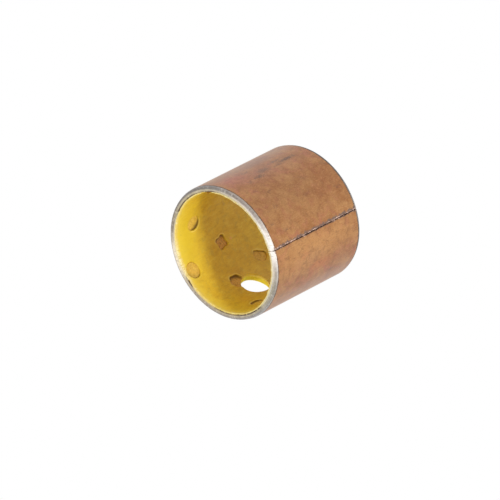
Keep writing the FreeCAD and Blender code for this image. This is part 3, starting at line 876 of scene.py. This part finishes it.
def lining_material():
    m = Nodes("yellow_acetal")
    strip = m.attribute("strip")
    pos = m.position()
    s, y, r = m.split(strip)
    turn = m.round_angle(strip)
    deg = 1 / 360.0
    u, v, _ = m.split(m.attribute("pocket"))
    shade, tint, _ = m.split(m.attribute("pocket_look"))
    cloud = m.noise(pos, 0.30, 3.0, 0.55, 0.3)
    mottle = m.noise(m.vec("MULTIPLY", pos, (1.0, 0.45, 1.0)), 1.3, 4.0, 0.65, 0.3)
    olive = m.noise(m.vec("ADD", pos, (7.0, 3.0, 2.0)), 0.75, 4.0, 0.65, 0.4)
    streak = m.noise(m.join(m.math("MULTIPLY", s, 2.2), m.math("MULTIPLY", y, 0.45), 0.0), 1.0, 4.0, 0.65)
    grit = m.noise(m.vec("ADD", pos, (1.0, 9.0, 6.0)), 4.0, 3.0, 0.65)
    base = m.colour(m.ramp(cloud, 0.35, 0.68), (0.74, 0.475, 0.026), (0.81, 0.550, 0.034))
    base = m.colour(m.math("MULTIPLY", m.ramp(olive, 0.50, 0.68), 0.60), base, (0.60, 0.415, 0.045))
    base = m.colour(m.math("MULTIPLY", m.ramp(mottle, 0.50, 0.70), 0.60), base, (0.60, 0.345, 0.016))
    base = m.colour(m.math("MULTIPLY", m.ramp(mottle, 0.46, 0.32), 0.45), base, (0.88, 0.68, 0.070))
    base = m.colour(m.math("MULTIPLY", m.ramp(streak, 0.54, 0.74), 0.35), base, (0.92, 0.74, 0.11))
    base = m.colour(m.math("MULTIPLY", m.ramp(grit, 0.50, 0.34), 0.28), base, (0.52, 0.31, 0.02))
    base = m.stains(base, m.vec("ADD", strip, m.vec("MULTIPLY", m.vec("SUBTRACT", m.join(mottle, olive, 0.5), (0.5, 0.5, 0.5)), (1.6, 1.6, 0.0))), [
        (-28.5, 2.0, 12.0, 6.2, (0.79, 0.600, 0.030), 0.85),
        (-24.5, 14.8, 0.40, 0.5, (0.90, 0.48, 0.20), 0.60),
        (-23.2, 13.6, 0.40, 0.6, (0.66, 0.36, 0.05), 0.55),
        (-33.5, 12.2, 0.5, 1.6, (0.62, 0.40, 0.05), 0.45),
        (-31.0, 8.5, 1.2, 2.2, (0.64, 0.42, 0.05), 0.40),
        (-16.5, 11.0, 1.5, 2.6, (0.70, 0.40, 0.03), 0.50),
        (-9.0, 6.5, 1.8, 2.4, (0.74, 0.40, 0.02), 0.45),
    ])
    # brighter yellow towards the mouth: painted light, brighter where light reaches in from the mouth; and a pale cut
    # edge with a little dirt
    depth = m.math("SUBTRACT", 12.5, m.math("ABSOLUTE", y))
    wavy = m.math("ADD", depth, m.math("MULTIPLY", m.math("SUBTRACT", streak, 0.5), 1.6))
    base = m.colour(m.math("MULTIPLY", m.ramp(wavy, 0.2, 3.2, 1.0, 0.0), 0.45), base, (0.95, 0.76, 0.10))
    # the cut edge's cream sector at about 247–270° is a painted highlight
    pale = m.stops(turn, [
        (0, (0.80, 0.66, 0.26)), (30 * deg, (0.68, 0.61, 0.32)), (58 * deg, (0.70, 0.60, 0.36)),
        (97 * deg, (0.66, 0.56, 0.32)), (130 * deg, (0.60, 0.52, 0.28)), (152 * deg, (0.84, 0.70, 0.26)),
        (200 * deg, (0.84, 0.66, 0.20)), (234 * deg, (0.84, 0.64, 0.20)), (247 * deg, (0.93, 0.82, 0.46)),
        (270 * deg, (0.93, 0.82, 0.48)), (284 * deg, (0.82, 0.62, 0.19)), (310 * deg, (0.84, 0.65, 0.16)),
        (1.0, (0.78, 0.62, 0.20)),
    ])
    lip = m.math("ADD", depth, m.math("MULTIPLY", m.math("SUBTRACT", m.noise(m.join(m.math("MULTIPLY", s, 1.5), 0.0, 0.0), 1.0, 4.0, 0.7), 0.5), 1.5))
    patchy = m.noise(m.join(m.math("MULTIPLY", s, 1.9), m.math("MULTIPLY", y, 1.5), 7.0), 1.0, 4.0, 0.7)
    pale = m.colour(m.math("MULTIPLY", m.ramp(patchy, 0.50, 0.36), 0.65), pale, (0.60, 0.42, 0.08))
    # cream patches on the cut edge: painted highlights
    pale = m.colour(m.math("MULTIPLY", m.ramp(patchy, 0.56, 0.68), 0.70), pale, (0.97, 0.88, 0.60))
    base = m.colour(m.math("MULTIPLY", m.ramp(lip, 0.05, 0.95, 1.0, 0.0), 0.78), base, pale)
    # round each pocket: painted shade on one side and a painted highlight line just outside it
    rho = m.vec("LENGTH", m.join(u, v, 0.0))
    facing = m.ramp(m.math("ADD", u, m.math("MULTIPLY", m.math("SUBTRACT", mottle, 0.5), 0.6)), 0.10, 0.75)
    dark = m.math("MULTIPLY", m.ramp(rho, 0.985, 1.06, 1.0, 0.0), m.math("MULTIPLY", shade, m.math("ADD", 0.22, m.math("MULTIPLY", facing, 0.75))))
    base = m.colour(dark, base, (0.22, 0.125, 0.016))
    lip_highlight = m.math("MULTIPLY", m.ramp(rho, 1.06, 1.13), m.ramp(rho, 1.13, 1.26, 1.0, 0.0))
    base = m.colour(m.math("MULTIPLY", lip_highlight, m.math("MULTIPLY", shade, m.math("MULTIPLY", facing, 0.60))), base, (0.96, 0.80, 0.22))
    rough = m.ramp(mottle, 0.3, 0.7, 0.36, 0.48, "LINEAR")
    n1 = m.bump(m.noise(pos, 5.0, 3.0, 0.6), 0.00003, 0.35)
    n2 = m.bump(mottle, 0.0002, 0.16, n1)
    n3 = m.bump(streak, 0.00012, 0.20, n2)
    p = m.principled(Base_Color=base, Roughness=rough, Normal=n3)
    p.inputs["IOR"].default_value = 1.48
    return m.mat


for piece, make, node, slot in (
    (steel, steel_material, "steel_backing", "steel"),
    (copper, copper_material, "copper_plating", "copper"),
    (bronze, bronze_material, "bronze_sinter_layer", "sintered_bronze"),
    (lining, lining_material, "acetal_lining", "acetal"),
):
    piece.data.materials.append(make())
    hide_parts(node)
    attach(piece, "root")


# ------------------------------------------------------------------ floor and light
def flat_white(name, strength):
    m = Nodes(name)
    e = m.node("ShaderNodeEmission")
    e.inputs["Color"].default_value = (1, 1, 1, 1)
    e.inputs["Strength"].default_value = strength
    m.t.links.new(e.outputs[0], m.out.inputs["Surface"])
    return m.mat


def sweep_room(name, radius, floor_z):
    """A lit white floor that curves up into a white surround."""
    verts, faces = [], []
    seg = 96
    profile = [(0.0, 0.0), (0.25, 0.0), (0.6, 0.0), (0.95, 0.0)]
    for k in range(1, 15):
        t = math.pi / 2 * k / 14
        profile.append((0.95 + 0.05 * math.sin(t), 0.05 * (1 - math.cos(t))))
    for k in range(1, 25):
        t = math.pi / 2 * k / 24
        profile.append((math.cos(t), 0.05 + 0.95 * math.sin(t)))
    verts.append((0.0, 0.0, floor_z))
    for pr, pz in profile[1:-1]:
        for k in range(seg):
            t = 2 * math.pi * k / seg
            verts.append((radius * pr * math.cos(t), radius * pr * math.sin(t), floor_z + radius * pz))
    top = len(verts)
    verts.append((0.0, 0.0, floor_z + radius * profile[-1][1]))
    rings = len(profile) - 2
    for k in range(seg):
        faces.append((0, 1 + k, 1 + (k + 1) % seg))
    for j in range(rings - 1):
        for k in range(seg):
            p, q = 1 + j * seg + k, 1 + j * seg + (k + 1) % seg
            faces.append((p, p + seg, q + seg, q))
    for k in range(seg):
        p, q = 1 + (rings - 1) * seg + k, 1 + (rings - 1) * seg + (k + 1) % seg
        faces.append((p, top, q))
    mesh = bpy.data.meshes.new(name)
    mesh.from_pydata(verts, [], faces)
    mesh.polygons.foreach_set("use_smooth", [True] * len(mesh.polygons))
    obj = bpy.data.objects.new(name, mesh)
    scene.collection.objects.link(obj)
    obj.data.materials.append(flat_white(name, 1.0))
    # the white surround is what the eye sees; the even room light comes from the world
    obj.visible_diffuse = False
    obj.visible_glossy = False
    obj.visible_transmission = False
    obj.visible_shadow = False
    return obj


floor = sweep_room("white_floor", 1.6, cad_lo.z)

world = bpy.data.worlds.new("room")
scene.world = world
world.use_nodes = True
wt = world.node_tree
wt.nodes.clear()
wo = wt.nodes.new("ShaderNodeOutputWorld")
wb = wt.nodes.new("ShaderNodeBackground")
wt.links.new(wb.outputs[0], wo.inputs[0])
tc = wt.nodes.new("ShaderNodeTexCoord")
# even room light, brighter low down in front of the near end
lobe = wt.nodes.new("ShaderNodeVectorMath")
lobe.operation = "DOT_PRODUCT"
wt.links.new(tc.outputs["Generated"], lobe.inputs[0])
lobe.inputs[1].default_value = (-0.589, -0.672, -0.4495)
mr = wt.nodes.new("ShaderNodeMapRange")
mr.interpolation_type = "SMOOTHSTEP"
wt.links.new(lobe.outputs["Value"], mr.inputs["Value"])
mr.inputs["From Min"].default_value = 0.10
mr.inputs["From Max"].default_value = 0.95
mr.inputs["To Min"].default_value = 0.70
mr.inputs["To Max"].default_value = 1.20
sep = wt.nodes.new("ShaderNodeSeparateXYZ")
wt.links.new(tc.outputs["Generated"], sep.inputs[0])
dim = wt.nodes.new("ShaderNodeMapRange")
dim.interpolation_type = "SMOOTHSTEP"
wt.links.new(sep.outputs[1], dim.inputs["Value"])
dim.inputs["From Min"].default_value = 0.25
dim.inputs["From Max"].default_value = 1.0
dim.inputs["To Min"].default_value = 1.0
dim.inputs["To Max"].default_value = 0.74
both = wt.nodes.new("ShaderNodeMath")
both.operation = "MULTIPLY"
wt.links.new(mr.outputs["Result"], both.inputs[0])
wt.links.new(dim.outputs["Result"], both.inputs[1])
cr = wt.nodes.new("ShaderNodeCombineXYZ")
for socket in cr.inputs:
    wt.links.new(both.outputs[0], socket)
wt.links.new(cr.outputs[0], wb.inputs["Color"])
wb.inputs["Strength"].default_value = 1.0


def area(name, direction, distance, size, power, colour=(1, 1, 1)):
    data = bpy.data.lights.new(name, "AREA")
    data.shape = "DISK"
    data.size = size
    data.energy = power
    data.color = colour
    obj = bpy.data.objects.new(name, data)
    d = Vector(direction).normalized()
    obj.location = d * distance
    obj.rotation_mode = "QUATERNION"
    obj.rotation_quaternion = d.to_track_quat("Z", "Y")
    scene.collection.objects.link(obj)
    return obj


area("key", (0.928, -0.289, 0.237), 0.5, 0.075, 1.25)

# ------------------------------------------------------------------ camera
cam_data = bpy.data.cameras.new("camera")
cam = bpy.data.objects.new("camera", cam_data)
scene.collection.objects.link(cam)
scene.camera = cam
right = Vector((0.752, 0.6593, 0.0)).normalized()
back = Vector((math.sin(math.radians(41.24)) * math.cos(math.radians(26.71)),
               -math.cos(math.radians(41.24)) * math.cos(math.radians(26.71)),
               math.sin(math.radians(26.71))))
up = back.cross(Vector((math.cos(math.radians(41.24)), math.sin(math.radians(41.24)), 0))).normalized()
side = up.cross(back).normalized()
near_centre = Vector((0.0, -0.0125, 0.0))
R = 0.014
cam.location = near_centre - R * (-0.37648 * side - 0.04921 * up - 98.0186 * back)
cam.rotation_mode = "QUATERNION"
cam.rotation_quaternion = back.to_track_quat("Z", "Y")
cam_data.sensor_width = 36.0
cam_data.lens = 504.0
cam_data.clip_start = 0.01
cam_data.clip_end = 10.0

scene.view_settings.view_transform = "Standard"
scene.view_settings.look = "None"
